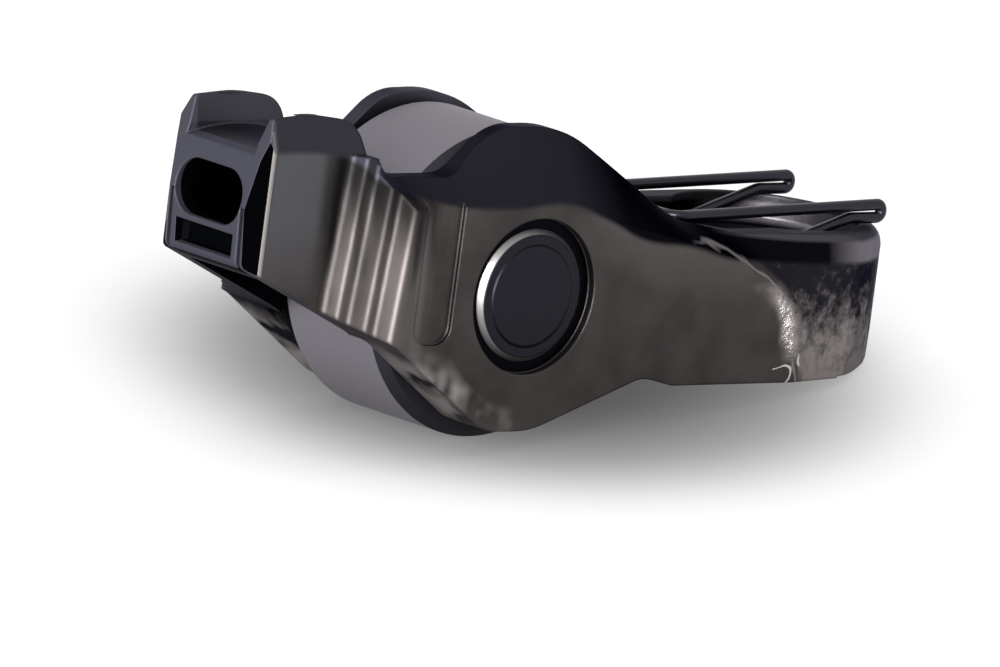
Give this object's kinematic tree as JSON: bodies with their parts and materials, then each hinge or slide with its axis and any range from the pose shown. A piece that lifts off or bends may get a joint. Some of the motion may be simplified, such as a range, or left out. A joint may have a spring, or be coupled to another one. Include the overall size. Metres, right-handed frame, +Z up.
{
  "type": "roller finger follower rocker arm",
  "caption": "Cast steel rocker arm with a needle-bearing cam roller, valve pallet between two guide ears, ball socket for a lash adjuster and a spring-wire retaining clip.",
  "frame": {"origin": "on the surface the arm lies on, under the middle of its bounding box", "axes": "+X along the arm to the ball-socket end, +Y across the arm along the axle, +Z up, out of the socket's mouth; the arm's own axes are tipped 6.9 degrees about Y"},
  "size_m": [0.0508, 0.0156, 0.0215],
  "materials": {
    "cast_steel": "dark hardened casting, part ground",
    "ground_steel": "fine ground",
    "pin_steel": "dark hardened, turned",
    "spring_steel": "dark drawn wire",
    "needle_steel": "polished"
  },
  "bodies": {
    "arm": {"arm_body": "cast_steel", "axle_pin": "pin_steel", "retaining_clip": "spring_steel"},
    "roller": {"cam_roller": "ground_steel"},
    "needle_set": {"needle_01": "needle_steel", "needle_02": "needle_steel", "needle_03": "needle_steel", "needle_04": "needle_steel", "needle_05": "needle_steel", "needle_06": "needle_steel", "needle_07": "needle_steel", "needle_08": "needle_steel", "needle_09": "needle_steel", "needle_10": "needle_steel", "needle_11": "needle_steel", "needle_12": "needle_steel", "needle_13": "needle_steel", "needle_14": "needle_steel", "needle_15": "needle_steel", "needle_16": "needle_steel", "needle_17": "needle_steel", "needle_18": "needle_steel"}
  },
  "joints": [
    {"name": "roller_spin", "type": "hinge", "parent": "arm", "child": "roller", "pos_m": [-0.00631, 0, 0.0093], "axis": [0, 1, 0], "continuous": true},
    {"name": "needle_orbit", "type": "hinge", "parent": "arm", "child": "needle_set", "pos_m": [-0.00631, 0, 0.0093], "axis": [0, 1, 0], "continuous": true}
  ],
  "couplings": [
    {"joint": "needle_orbit", "follows": "roller_spin", "ratio": 0.5842}
  ]
}
